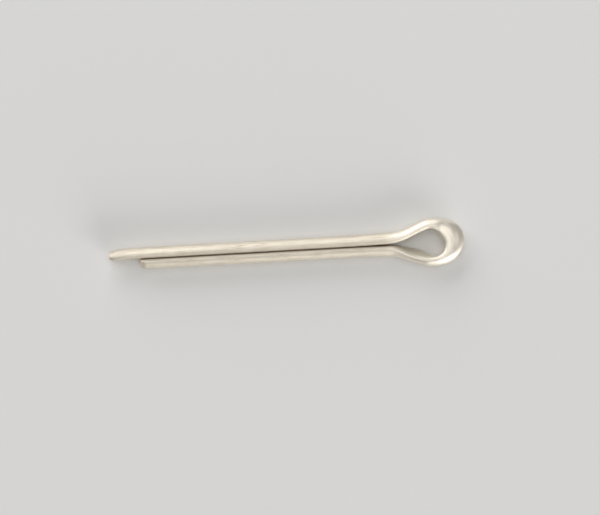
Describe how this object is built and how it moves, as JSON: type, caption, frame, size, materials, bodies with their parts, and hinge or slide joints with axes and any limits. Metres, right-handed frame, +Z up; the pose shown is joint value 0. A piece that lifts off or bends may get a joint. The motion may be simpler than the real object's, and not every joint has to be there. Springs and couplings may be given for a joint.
{
  "type": "cotter pin",
  "caption": "Split pin folded from half-round wire, with a teardrop eye, two closed legs and one leg running past the other.",
  "frame": {"origin": "on the shank's axis, at the plane where the two legs start to spread into the eye and the pin seats in its hole", "axes": "+X along the shank towards the eye, +Z up out of the eye's plane, +Y towards the long leg"},
  "size_m": [0.0358, 0.0048, 0.002],
  "materials": {
    "steel": "satin drawn wire with a thin warm-toned zinc plating"
  },
  "bodies": {
    "root": {"cotter_pin": "steel"}
  },
  "joints": []
}
